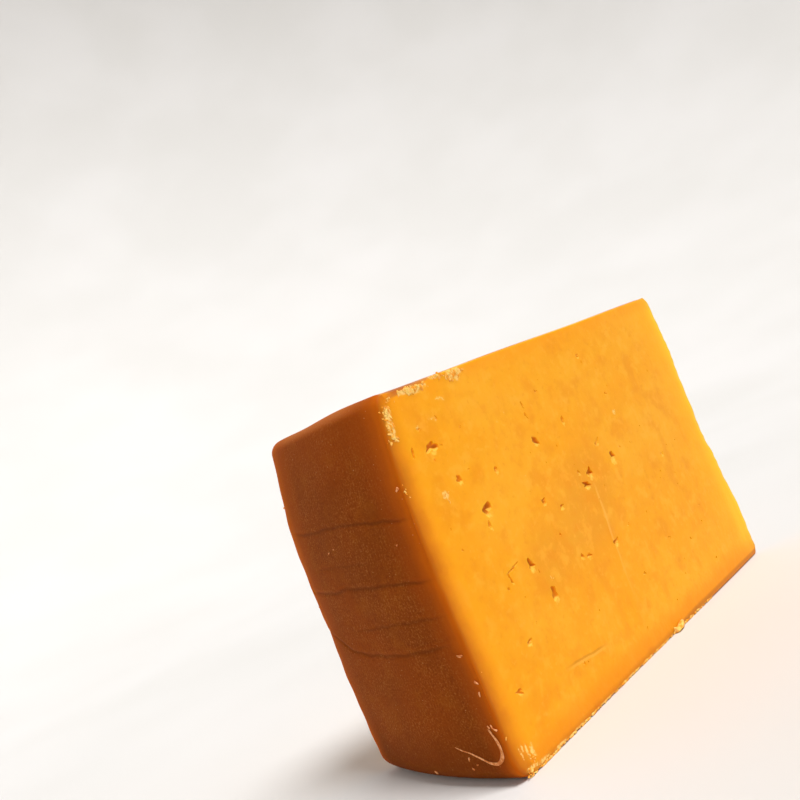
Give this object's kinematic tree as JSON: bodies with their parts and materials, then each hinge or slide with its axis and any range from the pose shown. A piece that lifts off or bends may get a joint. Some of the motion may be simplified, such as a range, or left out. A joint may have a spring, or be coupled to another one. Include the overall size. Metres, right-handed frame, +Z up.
{
  "type": "smoked cheese wedge",
  "caption": "Wedge of smoked pinconning cheese cut from a round wheel, with a curved brown smoked rind, two cut faces with small openings and a flat bottom to stand on.",
  "frame": {"origin": "under the middle of the wedge, on its flat bottom: the bottom centre of its bounding box", "axes": "+X along the wedge's length, from the curved rind to the thin tip; +Z up, along the axis of the wheel it was cut from; the near cut, with the clearest openings, faces -Y"},
  "size_m": [0.1748, 0.0678, 0.1102],
  "materials": {
    "smoked_cheese": "semi-matt, slightly oily cut cheese of orange yellow, with a red brown smoked rind"
  },
  "bodies": {
    "root": {"cheese_wedge": "smoked_cheese"}
  },
  "joints": []
}
